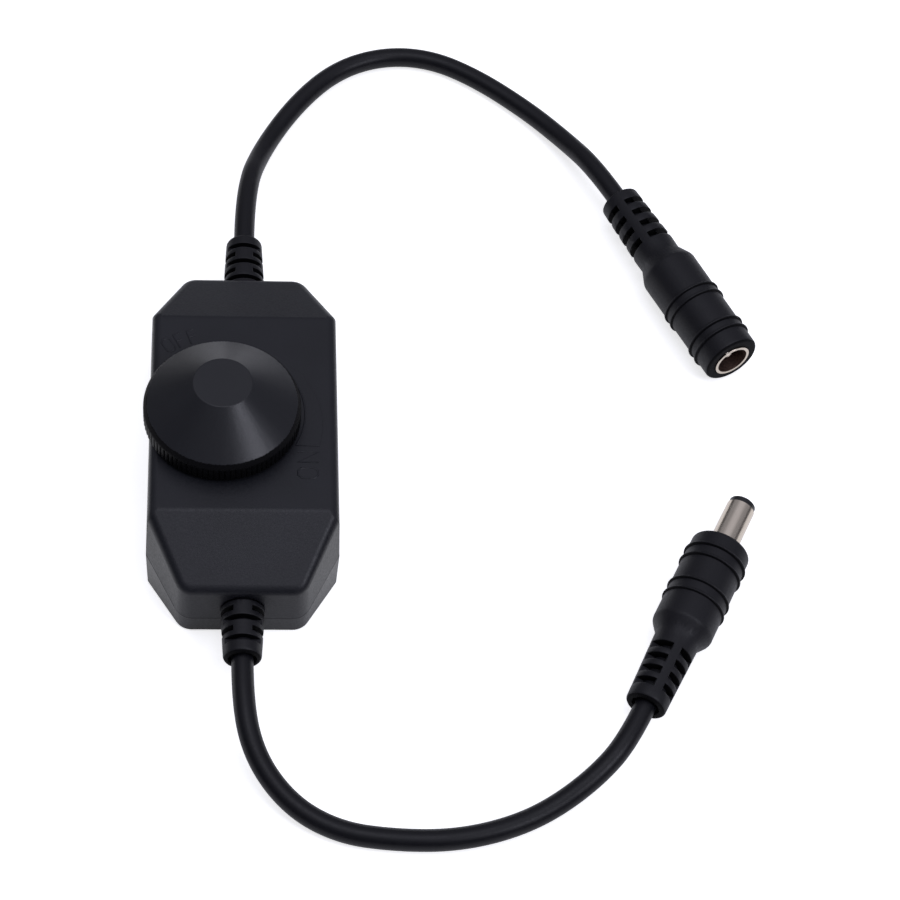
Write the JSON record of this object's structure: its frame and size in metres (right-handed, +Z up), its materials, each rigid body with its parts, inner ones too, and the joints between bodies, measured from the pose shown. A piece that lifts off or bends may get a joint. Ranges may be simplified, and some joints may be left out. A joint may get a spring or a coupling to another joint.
{
  "type": "led strip dimmer",
  "caption": "In-line rotary dimmer for a low voltage LED strip: chamfered black case with a conical knurled knob, a short cord to a barrel jack and a short cord to a barrel plug.",
  "frame": {"origin": "centre of the case's flat underside", "axes": "+Z up out of the roof with the knob, +Y along the case towards the power input cord, +X across the case towards the side where both connectors lie"},
  "size_m": [0.1185, 0.1866, 0.0306],
  "materials": {
    "upper_shell": "satin",
    "lower_shell": "satin",
    "housing_screws": "satin",
    "circuit_board": "satin",
    "pot_can": "satin",
    "pot_bushing": "satin",
    "pot_washer": "satin",
    "pot_nut": "satin",
    "pot_shaft": "satin",
    "pot_rotor": "matte",
    "pot_wiper": "satin",
    "pot_track_wafer": "satin",
    "pot_switch": "satin",
    "pot_terminals": "satin",
    "knob": "satin",
    "input_grommet": "satin",
    "output_grommet": "satin",
    "input_cord": "satin",
    "output_cord": "satin",
    "jack_body": "satin",
    "jack_sleeve": "polished",
    "jack_insulator": "matte",
    "jack_pin": "polished",
    "plug_body": "satin",
    "plug_barrel": "polished",
    "plug_insulator": "satin",
    "plug_center_contact": "satin",
    "power_transistor": "satin",
    "timer_chip": "satin",
    "smoothing_capacitor": "gloss",
    "flyback_diode": "satin",
    "chip_resistors": "satin",
    "chip_capacitors": "satin",
    "input_lead_red": "satin",
    "input_lead_black": "satin",
    "output_lead_red": "satin",
    "output_lead_black": "satin"
  },
  "bodies": {
    "housing": {"upper_shell": "upper_shell", "lower_shell": "lower_shell", "housing_screws": "housing_screws", "circuit_board": "circuit_board", "pot_can": "pot_can", "pot_bushing": "pot_bushing", "pot_washer": "pot_washer", "pot_nut": "pot_nut", "pot_track_wafer": "pot_track_wafer", "pot_switch": "pot_switch", "pot_terminals": "pot_terminals", "input_grommet": "input_grommet", "output_grommet": "output_grommet", "input_cord": "input_cord", "output_cord": "output_cord", "jack_body": "jack_body", "jack_sleeve": "jack_sleeve", "jack_insulator": "jack_insulator", "jack_pin": "jack_pin", "plug_body": "plug_body", "plug_barrel": "plug_barrel", "plug_insulator": "plug_insulator", "plug_center_contact": "plug_center_contact", "power_transistor": "power_transistor", "timer_chip": "timer_chip", "smoothing_capacitor": "smoothing_capacitor", "flyback_diode": "flyback_diode", "chip_resistors": "chip_resistors", "chip_capacitors": "chip_capacitors", "input_lead_red": "input_lead_red", "input_lead_black": "input_lead_black", "output_lead_red": "output_lead_red", "output_lead_black": "output_lead_black"},
    "knob": {"knob": "knob", "pot_shaft": "pot_shaft", "pot_rotor": "pot_rotor", "pot_wiper": "pot_wiper"}
  },
  "joints": [
    {"name": "knob_turn", "type": "hinge", "parent": "housing", "child": "knob", "pos_m": [-0.004, -0.00155, 0.0204], "axis": [0, 0, 1], "range_deg": [-300, 0]}
  ]
}
